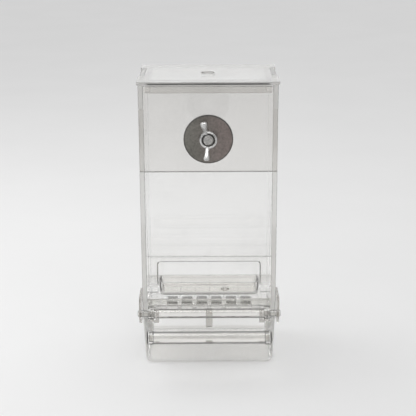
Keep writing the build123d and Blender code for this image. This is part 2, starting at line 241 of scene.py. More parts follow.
# %% Finishes of the lid, the mouldings and the perch
# Painted sheen: the lid's pale grazing tone.
LID = clear_finish(
    "lid_sheet", (0.985, 0.985, 0.982), 0.05, 0.16, 0.05, (0.0, 0.0, 0.5), body=0.50,
    painted_grazing=((0.80, 0.80, 0.795), 0.45, 1.42),
)
# Painted shade: the lid's edges are a greyer copy of the sheet.
LID_EDGE = clear_finish(
    "lid_edge", (0.70, 0.69, 0.67), 0.07, 0.05, 0.05, (0.0, 0.4, 0.5), painted_gap_shade=(0.03, 0.029, 0.028),
)
# Painted shade: the finger hole's wall is painted greyer.
HOLE = clear_finish(
    "hole_wall", (0.62, 0.61, 0.59), 0.15, 0.06, 0.05, ASLANT, painted_grazing=((0.46, 0.455, 0.44), 0.10, 0.60),
)
# Painted shade: the rim under the lid is painted grey for the grey band it shows.
RIM = clear_finish("rim_strip", (0.80, 0.79, 0.77), 0.10, 0.06, 0.05, (0.2, 0.0, 0.7))
DISH = clear_finish(
    "dish_moulding", (0.965, 0.958, 0.94), 0.03, 0.10, 0.25, (0.0, 0.3, 0.2), index=1.34,
    painted_grazing=((0.12, 0.117, 0.11), 0.60, 0.90),
)
TRAY = clear_finish(
    "tray_moulding", (0.975, 0.966, 0.94), 0.03, 0.08, 0.12, (0.2, 0.0, 0.9), index=1.2, body=0.36,
    painted_grazing=((0.34, 0.335, 0.315), 0.76, 0.95),
)
# Painted shade: the tray's foot is painted greyer for the dark line along it.
FOOT = clear_finish("tray_foot", (0.74, 0.73, 0.70), 0.05, 0.08, 0.10, (0.2, 0.0, 0.9), index=1.2)
# Painted shade: the rod is tinted greyer than the arms, besides its painted dark lines at a slant.
PERCH = clear_finish(
    "perch_rod", (0.93, 0.92, 0.90), 0.02, 0.08, 0.60, (0.0, 0.0, 0.0),
    painted_grazing=((0.035, 0.034, 0.03), 0.18, 0.55), clears=(0.66, 0.82),
)
ARM = clear_finish(
    "perch_arm", (0.95, 0.945, 0.93), 0.02, 0.08, 0.10, (0.3, 0.0, 0.0), painted_grazing=((0.07, 0.068, 0.062), 0.35, 0.85),
)
print("other clear finishes:", [finish.name for finish in (LID, LID_EDGE, HOLE, RIM, DISH, TRAY, FOOT, PERCH, ARM)])

# %% [markdown]
# ## Plated metal
# The washer is dull plated steel: dark, with turning marks round its middle, painted shade on its left side and a
# warm tint on its right. The wing nut is cast and zinc plated, lighter and a little lumpy, with file marks along its
# wings. The nut's recess is painted darker, as painted shade, and the washer is darker in a band at its rim. The
# marks could be cut into the mesh, but they are far finer than its faces, so a wave round the bolt's own axis goes to
# the bump.

# %% Dull steel and cast zinc
bolt_low, bolt_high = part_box("mounting_bolt")
bolt_x = (bolt_low.x + bolt_high.x) / 2
bolt_z = (bolt_low.z + bolt_high.z) / 2
bolt_mm = bolt_z / MM
SHADED_SIDE_END, WARM_END = -0.010, 0.018
MARK_SCALE, MARK_BUMP = 900.0, 0.00012


def metal_finish(name, dark, light, rough, marks, mark_depth, left, right):
    finish, wire, place = new_finish(name)
    about_bolt = {"Vector": place, "Location": (-bolt_x, bolt_z, 0.0), "Rotation": (math.pi / 2, 0.0, 0.0)}
    centred = wire.node("ShaderNodeMapping", {}, about_bolt)
    clouds = wire.noise(place, 90.0, 3.0)
    grains = wire.noise(place, 750.0, 4.0, 0.75)
    grains = wire.node("ShaderNodeMapRange", {}, {0: grains, 1: 0.35, 2: 0.65})
    # Painted shade and tint: the left end of a piece is multiplied by one colour, the right end by another.
    side = wire.step(wire.axis(place, X) + clouds * 0.008, SHADED_SIDE_END, WARM_END)
    waves = {"Vector": centred, "Scale": MARK_SCALE, "Distortion": 1.5, "Detail": 2.0}
    tooled = wire.node("ShaderNodeTexWave", marks, waves)
    colour = wire.mix(clouds * 0.40 + grains * 0.60 + tooled * 0.15, dark, light)
    colour = wire.mix(1.0, colour, wire.mix(side, left, right), "MULTIPLY")
    height = tooled * mark_depth + grains * 0.5 + clouds * 0.4
    bump = wire.node("ShaderNodeBump", {}, {"Strength": 0.35, "Distance": MARK_BUMP, "Height": height})
    worn = rough + grains * 0.22 - tooled * 0.08
    values = {"Base Color": colour, "Roughness": worn, "Metallic": 1.0, "Normal": bump}
    close_finish(wire, wire.node("ShaderNodeBsdfPrincipled", {}, values))
    return finish


RINGS = {"wave_type": "RINGS", "rings_direction": "Z", "wave_profile": "SIN"}
FILED = {"wave_type": "BANDS", "bands_direction": "X", "wave_profile": "SIN"}
WHITE, OFF_WHITE = (1.0, 1.0, 1.0), (1.0, 0.99, 0.98)
STEEL = metal_finish(
    "dull_steel", (0.15, 0.145, 0.14), (0.36, 0.345, 0.335), 0.34, RINGS, 0.5, (0.83, 0.84, 0.78), (1.03, 0.91, 0.885),
)
ZINC = metal_finish("cast_zinc", (0.42, 0.42, 0.42), (0.80, 0.80, 0.79), 0.30, FILED, 1.0, WHITE, OFF_WHITE)
# Painted shade in the nut's recess; the same darker finish is used on a band at the washer's rim.
DARKENED_RECESS_AND_RIM = metal_finish("darkened_recess_and_rim", (0.07, 0.07, 0.066), (0.22, 0.215, 0.205), 0.55, RINGS, 0.5, WHITE, OFF_WHITE)
BOLT = metal_finish("bolt_steel", (0.30, 0.30, 0.29), (0.66, 0.655, 0.64), 0.32, RINGS, 0.5, WHITE, (1.0, 0.98, 0.96))
print("metal finishes:", [finish.name for finish in (STEEL, ZINC, DARKENED_RECESS_AND_RIM, BOLT)], "bolt at", round(bolt_mm, 2), "mm")

# %% [markdown]
# ## Handing a piece over
# Every piece ends the same way: normals out, a mesh at the origin, a ride on its body, and the solid that it stands
# for. Each piece could do this by itself, but with one function nothing is forgotten. Flat sheet is shaded flat.
# Turned and moulded pieces are smooth between their sharp edges. The finishes of a piece are counted, and a face
# says which of them it wears.

# %% One way to finish every piece
SHARP = math.radians(38)
FIRST, SECOND, THIRD, FOURTH = range(4)


def hand_over(bm, name, body, node, finishes, smooth=False):
    bm.normal_update()
    bmesh.ops.recalc_face_normals(bm, faces=bm.faces)
    mesh = bpy.data.meshes.new(name)
    bm.to_mesh(mesh)
    bm.free()
    for finish in finishes:
        mesh.materials.append(finish)
    if smooth:
        mesh.shade_smooth()
        mesh.set_sharp_from_angle(angle=SHARP)
    made = bpy.data.objects.new(name, mesh)
    bpy.context.scene.collection.objects.link(made)
    if smooth:
        level = made.modifiers.new("flat_stays_flat", "WEIGHTED_NORMAL")
        level.weight, level.keep_sharp = 100, True
    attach(made, body)
    if node:
        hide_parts(node)
    print(name, "stands for" if node else "is new", node or "", "with", len(mesh.polygons), "faces")
    return made


def mm_box(node):
    low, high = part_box(node)
    return low / MM, high / MM


print("pieces are planned in millimetres and handed over in metres")

# %% [markdown]
# ## Sawn sheet
# A sheet piece is sawn from a flat outline. The outline is split along the edges of each notch, the cells in the
# notches are taken away, and the rest is pulled to its thickness. A Boolean modifier could cut the notches too, but
# it is easily upset by walls that lie in one plane. Every face is then eased by a few hundredths of a millimetre,
# because glued sheets touch face to face and two clear faces in one place confuse the light. Last, the edges are
# broken with a small bevel, which is what catches the light on a real sheet.

# %% Saw, ease and bevel
EASE = 0.03
ACROSS, UPWARD, THROUGH = (1.0, 0.0, 0.0), (0.0, 1.0, 0.0), (0.0, 0.0, 1.0)
CORNER_ANGLE = math.radians(50)


def saw(bm, point, normal, near=0.0):
    whole = bm.verts[:] + bm.edges[:] + bm.faces[:]
    bmesh.ops.bisect_plane(bm, geom=whole, dist=near, plane_co=point, plane_no=normal)


def sharp_edges(bm):
    return [edge for edge in bm.edges if len(edge.link_faces) == 2 and edge.calc_face_angle() > CORNER_ANGLE]


def ease_faces(bm, gap):
    bmesh.ops.recalc_face_normals(bm, faces=bm.faces)
    moves = []
    for vert in bm.verts:
        normals = np.array([face.normal for face in vert.link_faces])
        moves.append(np.linalg.lstsq(normals, np.full(len(normals), -gap), rcond=1e-3)[0])
    for vert, move in zip(bm.verts, moves):
        vert.co += Vector(move)


def bevel_edges(bm, edges, width, segments):
    bmesh.ops.bevel(
        bm, geom=edges, offset=width, offset_type="OFFSET", segments=segments, profile=0.5, affect="EDGES",
        material=-1, clamp_overlap=True,
    )


def only(kind, parts):
    return [part for part in parts if isinstance(part, kind)]


print("sheets are eased by", EASE, "mm")

# %% [markdown]
# A sheet is drawn flat, with the flat faces in its first finish and the edges in its second. It is then stood up, so
# that its thickness lies along x, y or z. It could be drawn where it stands, but this way one function serves for
# all of them.

# %% From an outline to a sheet
TURNS = {
    "x": Matrix(((0, 0, 1, 0), (1, 0, 0, 0), (0, 1, 0, 0), (0, 0, 0, 1))),
    "y": Matrix(((1, 0, 0, 0), (0, 0, 1, 0), (0, 1, 0, 0), (0, 0, 0, 1))),
    "z": Matrix.Identity(4),
}
FOUND_WITHIN = 0.2


def box_outline(u0, v0, u1, v1):
    return [(u0, v0), (u1, v0), (u1, v1), (u0, v1)]


def upright_edges(bm, height, corners):
    found = []
    for edge in bm.edges:
        foot, top = edge.verts[0].co, edge.verts[1].co
        at_corner = any(math.hypot(foot.x - u, foot.y - v) < FOUND_WITHIN for u, v in corners)
        if at_corner and abs(foot.z - top.z) > 0.5 * height:
            found.append(edge)
    return found


def sawn_sheet(outline, low, high, cuts=(), rounds=(), broken=0.22):
    bm = bmesh.new()
    bm.faces.new([bm.verts.new((u, v, low)) for u, v in outline])
    for u0, v0, u1, v1 in cuts:
        for point, normal in (((u0, 0, 0), ACROSS), ((u1, 0, 0), ACROSS), ((0, v0, 0), UPWARD), ((0, v1, 0), UPWARD)):
            saw(bm, point, normal, 1e-5)
    gone = []
    for face in bm.faces:
        middle = face.calc_center_median()
        if any(u0 < middle.x < u1 and v0 < middle.y < v1 for u0, v0, u1, v1 in cuts):
            gone.append(face)
    bmesh.ops.delete(bm, geom=gone, context="FACES")
    pulled = bmesh.ops.extrude_face_region(bm, geom=bm.faces[:])
    bmesh.ops.translate(bm, verts=only(bmesh.types.BMVert, pulled["geom"]), vec=(0, 0, high - low))
    ease_faces(bm, EASE)
    for radius, segments, corners in rounds:
        bevel_edges(bm, upright_edges(bm, high - low, corners), radius, segments)
    for face in bm.faces:
        face.material_index = FIRST if abs(face.normal.z) > 0.9 else SECOND
    bevel_edges(bm, sharp_edges(bm), broken, 2)
    return bm


def stand_up(bm, axis):
    bm.transform(Matrix.Scale(MM, 4) @ TURNS[axis])
    return bm


print("sheets can stand along", list(TURNS))

# %% [markdown]
# ## Side panels
# Each side panel runs the full height. It is notched for the tabs of the front and back panels, cut away at the foot
# behind the perch, and has a tab on top that comes up through the lid. It could be glued up from strips, but the real
# one is a single sheet and shows no joints. The outer edge of the tab and the two broken edges in front are painted
# dark, as painted shade for the dark lines there, and the notches at the back stay clear.

# %% Left and right side panels
low, high = mm_box("right_side_panel")
front_low, front_high = mm_box("front_panel")
lid_low, lid_high = mm_box("lid_plate")
front_y, back_y = low.y, high.y
sheet, half_width = high.x - low.x, high.x
wall_top, mouth_top = lid_low.z, front_low.z
tab_front, tab_back, dark_brow = 5.2, 33.2, 0.5
front_notch_foot = 166.5
back_notch_foot, back_notch_top = 81.0, 131.0
foot_cut_deep, foot_cut_top = 6.0, 42.3
clear_below, clear_above = back_notch_foot - 6.0, back_notch_top + 9.0
side_cuts = [
    (front_y, wall_top, tab_front, high.z),
    (tab_back, wall_top, back_y, high.z),
    (front_y, mouth_top, front_y + sheet, front_notch_foot),
    (back_y - sheet, back_notch_foot, back_y, back_notch_top),
    (front_y, low.z, front_y + foot_cut_deep, foot_cut_top),
]
for name, node in (("left_side", "left_side_panel"), ("right_side", "right_side_panel")):
    low, high = mm_box(node)
    panel = sawn_sheet(box_outline(low.y, low.z, high.y, high.z), low.x, high.x, side_cuts)
    brow = math.copysign(half_width - dark_brow, low.x)
    saw(panel, (0.0, 0.0, brow), THROUGH)
    panel.normal_update()
    # Painted shade: the outer strip of the tab and the broken front edges get darker finishes.
    for face in panel.faces:
        middle = face.calc_center_median()
        if face.material_index == SECOND and middle.y > wall_top + 0.5:
            face.material_index = THIRD if abs(middle.z) > abs(brow) else FIRST
        elif middle.x > back_y - sheet - 1.0 and clear_below < middle.y < clear_above:
            face.material_index = FIRST
        elif face.normal.x < -0.3 and abs(face.normal.z) > 0.3:
            face.material_index = FOURTH
    hand_over(stand_up(panel, "x"), name, "housing", node, [SHEET, EDGE, TAB, SLOT])

# %% [markdown]
# ## Front and back panels
# The front panel ends well above the perch, so that the bird can put its head in. Its bolt hole could be a circle cut
# out of the sheet. Here it starts as a square whose four corners are rounded by half its side, so the saw and the
# bevel are enough.

# %% Front and back panels
FULL_ROUND = 0.98


def square(u, v, half_side):
    return (u - half_side, v - half_side, u + half_side, v + half_side)


def hole_round(u, v, half_side, segments):
    corners = [(u + across * half_side, v + up * half_side) for across in (-1, 1) for up in (-1, 1)]
    return (half_side * FULL_ROUND, segments, corners)


low, high = front_low, front_high
half, inner = high.x, high.x - sheet
bolt_hole = 3.25
front_cuts = [
    (-half, front_notch_foot, -inner, high.z),
    (inner, front_notch_foot, half, high.z),
    square(0.0, bolt_mm, bolt_hole),
]
bolt_round = hole_round(0.0, bolt_mm, bolt_hole, 8)
panel = sawn_sheet(box_outline(low.x, low.z, high.x, high.z), low.y, high.y, front_cuts, [bolt_round])
for face in panel.faces:
    if face.calc_center_median().y < low.z + 0.5 and face.material_index == SECOND:
        face.material_index = THIRD
hand_over(stand_up(panel, "y"), "front", "housing", "front_panel", [FRONT, EDGE, MOUTH])

low, high = mm_box("back_panel")
back_cuts = [
    (side_low, foot, side_high, top)
    for side_low, side_high in ((-half, -inner), (inner, half))
    for foot, top in ((low.z, back_notch_foot), (back_notch_top, high.z))
]
panel = sawn_sheet(box_outline(low.x, low.z, high.x, high.z), low.y, high.y, back_cuts)
for face in panel.faces:
    if abs(face.normal.x) > 0.5 or clear_below < face.calc_center_median().y < clear_above:
        face.material_index = FIRST
hand_over(stand_up(panel, "y"), "back", "housing", "back_panel", [SHEET, SAWN])

# %% [markdown]
# ## The way the seed runs
# The baffle slopes back from the front panel to the outlet plate, and the ramp brings the seed forward to the dish.
# A plain strip could be turned to the slope, but its square ends would stand off the panels. So both start from four
# corners seen from the side, with their ends cut level or upright.

# %% Baffle and ramp
low, high = mm_box("sloping_baffle")
baffle_run = 23.0
thick = high.y - low.y - baffle_run
slant = [(low.y, high.z), (high.y - thick, low.z), (high.y, low.z), (low.y + thick, high.z)]
baffle = sawn_sheet(slant, low.x, high.x)
hand_over(stand_up(baffle, "x"), "baffle", "housing", "sloping_baffle", [SAWN, SHEET])

low, high = mm_box("seed_ramp")
slope = math.atan2(high.z - low.z, high.y - low.y)
down, along = sheet / math.cos(slope), sheet / math.sin(slope)
slant = [(low.y, low.z), (high.y, high.z), (high.y, high.z - down), (low.y + along, low.z)]
ramp = sawn_sheet(slant, low.x, high.x)
hand_over(stand_up(ramp, "x"), "ramp", "housing", "seed_ramp", [SAWN, SHEET])

# %% [markdown]
# The outlet plate stands over the dish and has a wide slot that is open below. The sides of the slot are painted
# nearly black, as painted shade. A black stripe could be painted there by height, but a real split in the mesh keeps
# its end crisp: the dark stops at the dish, and the rest of the side stays clear.

# %% Outlet plate
low, high = mm_box("outlet_plate")
slot_half, slot_top, dark_foot = 33.0, 60.7, 45.2
slot_corner, slot_bevel = 2.0, 1.2
slot_cut = (-slot_half, low.z, slot_half, slot_top)
slot_round = (slot_corner, 6, [(side * slot_half, slot_top) for side in (-1, 1)])
plate = sawn_sheet(
    box_outline(low.x, low.z, high.x, high.z), low.y, high.y, [slot_cut], [slot_round], slot_bevel,
)
saw(plate, (0.0, dark_foot, 0.0), UPWARD)
plate.normal_update()
for face in plate.faces:
    middle = face.calc_center_median()
    if abs(face.normal.x) > 0.3 and abs(middle.x) < slot_half + 1.5:
        face.material_index = THIRD if middle.y > dark_foot else FIRST
    elif face.normal.y > 0.5 and middle.y > slot_top + 2.0:
        face.material_index = FOURTH
    elif face.normal.y < -0.3 and abs(middle.x) < slot_half:
        face.material_index = FIRST
hand_over(stand_up(plate, "y"), "outlet", "housing", "outlet_plate", [SHEET, SAWN, SLOT_SIDE_SHADE, SLOT])

# %% [markdown]
# ## The slotted deck and its lip
# Two rows of short slots let the hulls drop. Each could be listed by hand, but a loop over the rows keeps the pitch
# even. They are cut like notches and their corners rounded, and the far wall of each is painted dark, as painted
# shade in the slot. The lip in front keeps the seed on the deck.

# %% Deck and lip
low, high = mm_box("sieve_deck")
slot_count, slot_pitch, slot_long, slot_wide = 6, 9.4, 7.8, 4.2
slot_corner, deck_bevel = 1.2, 0.12
slots_half, slots_front, slots_back = 34.0, low.y + 4.0, low.y + 19.0
slots, slot_corners = [], []
for row_y in (low.y + 7.2, low.y + 15.2):
    for number in range(slot_count):
        slot_x = (number - (slot_count - 1) / 2) * slot_pitch
        u0, u1 = slot_x - slot_long / 2, slot_x + slot_long / 2
        v0, v1 = row_y - slot_wide / 2, row_y + slot_wide / 2
        slots.append((u0, v0, u1, v1))
        slot_corners += [(u, v) for u in (u0, u1) for v in (v0, v1)]
deck = sawn_sheet(
    box_outline(low.x, low.y, high.x, high.y), low.z, high.z, slots, [(slot_corner, 3, slot_corners)], deck_bevel,
)
# Painted shade: the far wall of each slot gets the darkest finish.
for face in deck.faces:
    middle = face.calc_center_median()
    in_slots = abs(middle.x) < slots_half and slots_front < middle.y < slots_back
    if face.material_index == SECOND and in_slots:
        face.material_index = THIRD if face.normal.y < -0.85 else FIRST
hand_over(stand_up(deck, "z"), "deck", "housing", "sieve_deck", [DECK, SAWN, SLOT])

low, high = mm_box("trough_lip")
lip_round = (0.8, 4, [(low.y, high.z), (high.y, high.z)])
lip = sawn_sheet(box_outline(low.y, low.z, high.y, high.z), low.x, high.x, (), [lip_round])
hand_over(stand_up(lip, "x"), "lip", "housing", "trough_lip", [SAWN, LIP])

# %% [markdown]
# ## Ears, rails and the stop
# The ears are glued outside the side panels and carry the rod. The rails under the deck have an L section. Two strips
# could make one, but a notch in a single strip needs no joint. The small post between them stops the tray when it is
# pulled out.

# %% Ears, rails and stop
rod_low, rod_high = mm_box("pivot_rod")
rod_y, rod_z = (rod_low.y + rod_high.y) / 2, (rod_low.z + rod_high.z) / 2
pin_hole, ear_corner = 2.15, 4.4
for name, node in (("left_ear_plate", "left_ear"), ("right_ear_plate", "right_ear")):
    low, high = mm_box(node)
    corners = [(y, z) for y in (low.y, high.y) for z in (low.z, high.z)]
    ear = sawn_sheet(
        box_outline(low.y, low.z, high.y, high.z), low.x, high.x, [square(rod_y, rod_z, pin_hole)],
        [(ear_corner, 6, corners), hole_round(rod_y, rod_z, pin_hole, 6)],
    )
    hand_over(stand_up(ear, "x"), name, "housing", node, [SHEET, SAWN])

rail_shelf, rail_wall = 28.7, 2.3
for name, node, side in (("left_rail", "left_tray_rail", -1), ("right_rail", "right_tray_rail", 1)):
    low, high = mm_box(node)
    start, stop = (low.x, high.x - rail_wall) if side < 0 else (low.x + rail_wall, high.x)
    cut = (start, rail_shelf, stop, high.z)
    rail = sawn_sheet(box_outline(low.x, low.z, high.x, high.z), low.y, high.y, [cut])
    hand_over(stand_up(rail, "y"), name, "housing", node, [SAWN, SHEET])

low, high = mm_box("tray_stop")
post = sawn_sheet(box_outline(low.x, low.y, high.x, high.y), low.z, high.z)
hand_over(stand_up(post, "z"), "stop_post", "housing", "tray_stop", [SHEET, SAWN])

# %% [markdown]
# ## The lid
# The lid is a thinner sheet with a finger hole, notched at the sides for the tabs. A frame underneath drops inside the
# walls and keeps it in place. Four strips could make the frame, but one sheet with a large opening has no gaps at the
# corners.

# %% Lid plate and rim
low, high = lid_low, lid_high
notch_front, notch_back, notch_in = 5.0, 33.4, 38.8
finger_hole, finger_y, lid_corner = 4.25, low.y + 33.0, 1.5
lid_cuts = [
    (low.x, notch_front, -notch_in, notch_back),
    (notch_in, notch_front, high.x, notch_back),
    square(0.0, finger_y, finger_hole),
]
corners = [(x, y) for x in (low.x, high.x) for y in (low.y, high.y)]
lid = sawn_sheet(
    box_outline(low.x, low.y, high.x, high.y), low.z, high.z, lid_cuts,
    [(lid_corner, 4, corners), hole_round(0.0, finger_y, finger_hole, 8)],
)
for face in lid.faces:
    middle = face.calc_center_median()
    if math.hypot(middle.x, middle.y - finger_y) < finger_hole + 0.5 and face.material_index == SECOND:
        face.material_index = THIRD
hand_over(stand_up(lid, "z"), "lid", "lid", "lid_plate", [LID, LID_EDGE, HOLE])

low, high = mm_box("lid_rim")
strip_wide = 3.0
opening = (low.x + strip_wide, low.y + strip_wide, high.x - strip_wide, high.y - strip_wide)
rim = sawn_sheet(box_outline(low.x, low.y, high.x, high.y), low.z, high.z, [opening])
hand_over(stand_up(rim, "z"), "rim", "lid", "lid_rim", [SAWN, RIM])

# %% [markdown]
# ## Turned pieces
# Rod, perch bar, washers, hub and the bolt's shank are all turned. Cylinders could be stacked and joined, but a drawn
# section gives every shoulder, chamfer and bore at once. Half of the section is drawn as a line and spun once round.
# The line runs along the axis, with the radius beside it. A piece with two like ends needs only one of them drawn.


# %% Spin a section round an axis
def spun(bm, steps):
    bmesh.ops.spin(
        bm, geom=bm.verts[:] + bm.edges[:], cent=(0, 0, 0), axis=(0, 0, 1), angle=math.tau, steps=steps,
        use_merge=True,
    )
    bmesh.ops.remove_doubles(bm, verts=bm.verts, dist=1e-4)
    return bm


def turned(section, steps=48):
    bm = bmesh.new()
    line = [bm.verts.new((radius, 0, along)) for along, radius in section]
    for first, second in zip(line, line[1:]):
        bm.edges.new((first, second))
    return spun(bm, steps)


def both_ends(section):
    return [(-along, radius) for along, radius in reversed(section)] + section


def along_x(bm, y, z):
    bm.transform(Matrix.Scale(MM, 4) @ Matrix.Translation((0, y, z)) @ Matrix.Rotation(math.pi / 2, 4, "Y"))
    return bm


def toward_front(bm, x, y, z):
    bm.transform(Matrix.Scale(MM, 4) @ Matrix.Translation((x, y, z)) @ Matrix.Rotation(math.pi / 2, 4, "X"))
    return bm


print("sections can be spun")

# %% [markdown]
# ## Rod and perch bar
# The rod sits in the ears on two thin pins, and the perch turns on it. The bar is what the bird stands on. It is
# thicker, with a stub at each end that sits in an arm. Plain cylinders would be near enough for dull material, but
# these are clear, and every shoulder shows.

# %% Rod and perch bar
pin_end, rod_end = rod_high.x, mm_box("right_perch_arm")[1].x - 1.5
rod_radius, pin_radius = 3.0, 2.1
rod_half = [
    (rod_end - 0.25, rod_radius), (rod_end, rod_radius - 0.25), (rod_end, pin_radius), (pin_end - 0.6, pin_radius),
    (pin_end - 0.2, pin_radius - 0.2), (pin_end, pin_radius - 0.6), (pin_end, 0.0),
]
rod = along_x(turned(both_ends(rod_half)), rod_y, rod_z)
SHINY = [hand_over(rod, "rod", "housing", "pivot_rod", [PERCH], smooth=True)]

low, high = mm_box("perch_bar")
bar_y, bar_z = (low.y + high.y) / 2, (low.z + high.z) / 2
shoulder, bar_end = high.x - 2.4, high.x
bar_radius, stub_radius = 3.9, 2.5
bar_half = [
    (shoulder - 0.3, bar_radius), (shoulder - 0.05, bar_radius - 0.25), (shoulder - 0.05, stub_radius),
    (bar_end - 0.3, stub_radius), (bar_end, stub_radius - 0.3), (bar_end, 0.0),
]
bar = along_x(turned(both_ends(bar_half)), bar_y, bar_z)
SHINY.append(hand_over(bar, "bar", "perch", "perch_bar", [PERCH], smooth=True))

# %% [markdown]
# ## Perch arms
# Two small arms join the bar to the rod. They could be drawn again, but their solids already have the bosses, eyes
# and heels, so they stay and only get the finish.

# %% Finish on the arms
for node in ("left_perch_arm", "right_perch_arm"):
    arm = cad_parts[node]
    arm.data.materials.clear()
    arm.data.materials.append(ARM)
    SHINY.append(arm)
    print(node, "keeps its solid")

# %% [markdown]
# ## Dish
# The dish is a moulded tub. A Solidify modifier could give a shell its wall, but the inside of a moulding has a slope
# of its own. So the tub starts as its floor, is pulled up and widened, and the top is inset by the wall and pushed
# down again. The bevel at the end is the rounding that a mould leaves.


# %% A tub from its floor
def rounded_floor(width, depth, corner, z):
    bm = bmesh.new()
    outline = box_outline(-width / 2, -depth / 2, width / 2, depth / 2)
    bm.faces.new([bm.verts.new((u, v, z)) for u, v in outline])
    bmesh.ops.bevel(
        bm, geom=bm.verts[:], offset=corner, offset_type="OFFSET", segments=6, profile=0.5, affect="VERTICES",
        material=-1,
    )
    return bm


def pull(bm, face, rise, scale_x, scale_y, hollow=False):
    top = bmesh.ops.extrude_face_region(bm, geom=[face])["geom"]
    if hollow:
        bmesh.ops.delete(bm, geom=[face], context="FACES_ONLY")
    verts = only(bmesh.types.BMVert, top)
    bmesh.ops.translate(bm, verts=verts, vec=(0, 0, rise))
    bmesh.ops.scale(bm, verts=verts, vec=(scale_x, scale_y, 1.0))
    return only(bmesh.types.BMFace, top)[0]


print("a floor can be pulled into a tub")

# %% Seed dish
low, high = mm_box("seed_dish")
dish_wide, dish_deep, dish_high = high.x - low.x, high.y - low.y, high.z - low.z
dish_wall, dish_corner, mould_round = 1.6, 3.4, 0.5
draft_out, draft_in = 1.8, 1.6
floor_wide, floor_deep = dish_wide - draft_out, dish_deep - draft_out
inner_wide, inner_deep = dish_wide - 2 * dish_wall, dish_deep - 2 * dish_wall
tub = rounded_floor(floor_wide, floor_deep, dish_corner, low.z)
rim_face = pull(tub, tub.faces[:][0], dish_high, dish_wide / floor_wide, dish_deep / floor_deep)
bmesh.ops.inset_region(tub, faces=[rim_face], thickness=dish_wall, use_even_offset=True)
narrow_x, narrow_y = (inner_wide - draft_in) / inner_wide, (inner_deep - draft_in) / inner_deep
pull(tub, rim_face, dish_wall - dish_high, narrow_x, narrow_y, hollow=True)
bevel_edges(tub, sharp_edges(tub), mould_round, 3)
tub.transform(Matrix.Scale(MM, 4) @ Matrix.Translation(((low.x + high.x) / 2, (low.y + high.y) / 2, 0)))
hand_over(tub, "dish", "dish", "seed_dish", [DISH], smooth=True)

# %% [markdown]
# ## The gate mark
# The mould leaves a small oval ring in the front wall of the dish. bmesh has no operator for a ring, so a small circle
# is stood up beside the axis, spun round it and drawn out to an oval.

# %% Gate mark
ring_radius, ring_thick, ring_stretch = 0.83, 0.32, 2.45
gate_x, gate_y, gate_z = 10.4, low.y + 0.45, 43.9
beside_axis = Matrix(((0, 1, 0, ring_radius), (0, 0, 1, 0), (1, 0, 0, 0), (0, 0, 0, 1)))
ring = bmesh.new()
bmesh.ops.create_circle(ring, segments=10, radius=ring_thick, matrix=beside_axis)
spun(ring, 32)
bmesh.ops.scale(ring, verts=ring.verts, vec=(ring_stretch, 1.0, 1.0))
toward_front(ring, gate_x, gate_y, gate_z)
# The ring wears the darker edge finish, painted shade for its outline.
hand_over(ring, "gate_mark", "dish", None, [SAWN], smooth=True)

# %% [markdown]
# ## Washers
# A wide steel washer presses on the cage bars, and a smaller one sits under the bolt's head. A flat ring with a bevel
# would do, but stamping leaves one side of the rim rounder than the other, and the section shows that.

# %% Washers
washer_low, washer_high = mm_box("outer_washer")
radius, thick, bore = (washer_high.x - washer_low.x) / 2, washer_high.y - washer_low.y, 3.3
darkened_rim = 0.6
section = [
    (EASE, bore), (EASE, radius - 0.4), (0.3, radius - 0.05), (thick - 0.45, radius), (thick - 0.1, radius - 0.25),
    (thick, radius - 0.7), (thick, bore + 0.4), (thick - 0.3, bore), (EASE, bore),
]
wide_washer = turned(section, 96)
# The outer band of the washer gets the darker finish.
for face in wide_washer.faces:
    middle = face.calc_center_median()
    if math.hypot(middle.x, middle.y) > radius - darkened_rim:
        face.material_index = SECOND
toward_front(wide_washer, 0, washer_high.y, bolt_mm)
hand_over(wide_washer, "front_washer", "washer", "outer_washer", [STEEL, DARKENED_RECESS_AND_RIM], smooth=True)

low, high = mm_box("inner_washer")
radius, thick = (high.x - low.x) / 2, 1.57
section = [
    (0, bore), (0, radius - 0.3), (0.3, radius), (thick - 0.27, radius), (thick, radius - 0.3), (thick, bore),
    (0, bore),
]
small_washer = toward_front(turned(section, 64), 0, high.y, bolt_mm)
hand_over(small_washer, "back_washer", "housing", "inner_washer", [STEEL], smooth=True)

# %% [markdown]
# ## Bolt
# The bolt is a turned shank, a thread and a six-sided head. A bump could stand for the thread, but its outline would
# stay smooth. So a small ridge is spun round and moved on by one pitch a turn.


# %% Bolt with a real thread
def joined(parts):
    whole = bmesh.new()
    for part in parts:
        part.normal_update()
        bmesh.ops.recalc_face_normals(part, faces=part.faces)
        lump = bpy.data.meshes.new("lump")
        part.to_mesh(lump)
        whole.from_mesh(lump)
        bpy.data.meshes.remove(lump)
        part.free()
    return whole


low, high = mm_box("mounting_bolt")
head_high, head_corner = 4.0, 5.77
under_head = high.y - head_high
pitch, crest, root = 1.0, 3.0, 2.45
thread_turns, turn_steps = 8.7, 40
shank_section = [
    (0, 0), (0, root), (9.6, root), (9.9, 2.3), (10.0, 2.1), (9.95, 1.85), (9.7, 1.6), (9.65, 0.0),
]
shank = toward_front(turned(shank_section), 0, under_head, bolt_mm)
thread = bmesh.new()
ridge = [(root - 0.1, 0.04), (crest - 0.06, 0.43), (crest - 0.06, 0.57), (root - 0.1, pitch - 0.04)]
thread.faces.new([thread.verts.new((radius, 0, along)) for radius, along in ridge])
bmesh.ops.spin(
    thread, geom=thread.verts[:] + thread.edges[:] + thread.faces[:], cent=(0, 0, 0), axis=(0, 0, 1),
    dvec=(0, 0, pitch / turn_steps), angle=math.tau * thread_turns, steps=round(thread_turns * turn_steps),
)
toward_front(thread, 0, under_head - 0.1, bolt_mm)
head = bmesh.new()
bmesh.ops.create_cone(head, cap_ends=True, segments=6, radius1=head_corner, radius2=head_corner, depth=head_high)
bevel_edges(head, [edge for edge in head.edges if edge.calc_face_angle() > 1.3], 0.5, 2)
toward_front(head, 0, high.y - head_high / 2, bolt_mm)
bolt = joined([shank, thread, head])
hand_over(bolt, "bolt", "housing", "mounting_bolt", [BOLT], smooth=True)

